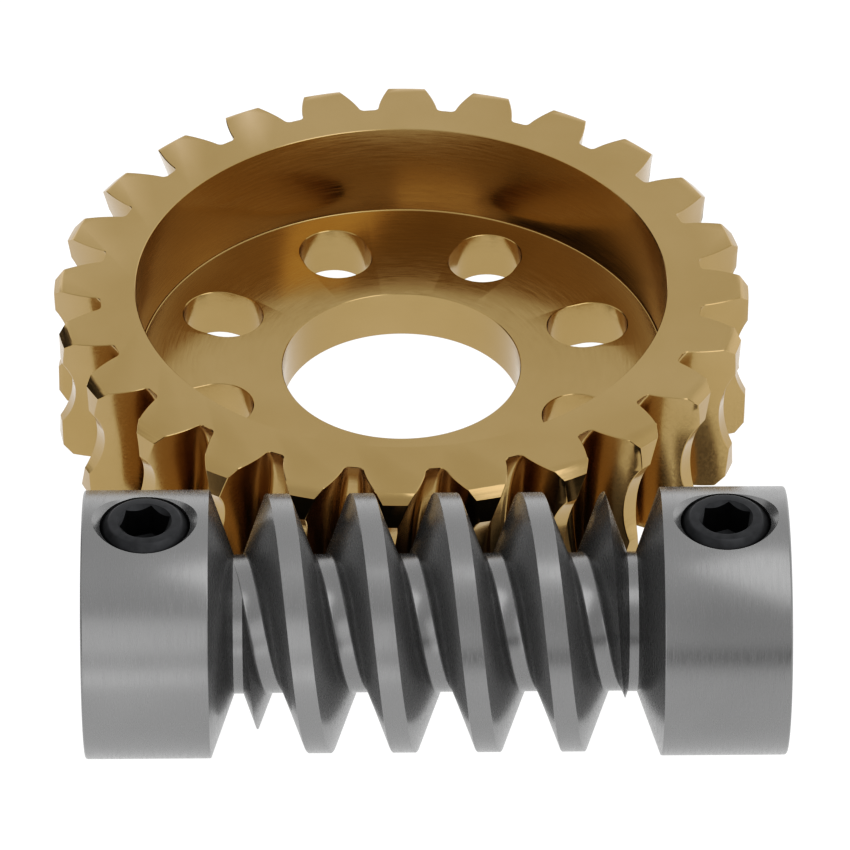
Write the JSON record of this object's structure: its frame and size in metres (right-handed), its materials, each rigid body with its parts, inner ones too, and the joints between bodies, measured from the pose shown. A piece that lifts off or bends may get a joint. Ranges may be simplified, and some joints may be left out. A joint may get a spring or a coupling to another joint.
{
  "type": "worm gear set",
  "caption": "Worm gear set: a steel worm with a clamping hub and set screw at each end drives a bronze worm wheel with a recessed, slotted web and a plain bore.",
  "frame": {"origin": "on the wheel's axis, halfway through the wheel's face width", "axes": "+Z along the wheel's axis towards its recessed side, X along the worm's axis, which lies at y = -51.4 mm and z = 0, so the worm is on the -Y side"},
  "size_m": [0.0829, 0.1069, 0.03],
  "materials": {
    "bronze": "turned and hobbed, satin, uncoated",
    "steel": "fine turned and brushed",
    "blackened_steel": "black oxide, satin",
    "washer_steel": "ground"
  },
  "bodies": {
    "frame": {"thrust_washer": "washer_steel"},
    "wheel": {"worm_wheel": "bronze"},
    "worm_body": {"worm": "steel"},
    "left_screw": {"left_set_screw": "blackened_steel"},
    "right_screw": {"right_set_screw": "blackened_steel"}
  },
  "joints": [
    {"name": "worm_spin", "type": "hinge", "parent": "frame", "child": "worm_body", "pos_m": [0, -0.0514, 0], "axis": [1, 0, 0], "continuous": true},
    {"name": "wheel_spin", "type": "hinge", "parent": "frame", "child": "wheel", "pos_m": [0, 0, 0], "axis": [0, 0, 1], "continuous": true},
    {"name": "left_screw_travel", "type": "slide", "parent": "worm_body", "child": "left_screw", "axis": [0, 0, 1], "range_m": [-0.001, 0.003]},
    {"name": "right_screw_travel", "type": "slide", "parent": "worm_body", "child": "right_screw", "axis": [0, 0, 1], "range_m": [-0.001, 0.003]}
  ],
  "couplings": [
    {"joint": "wheel_spin", "follows": "worm_spin", "ratio": -0.041667}
  ]
}
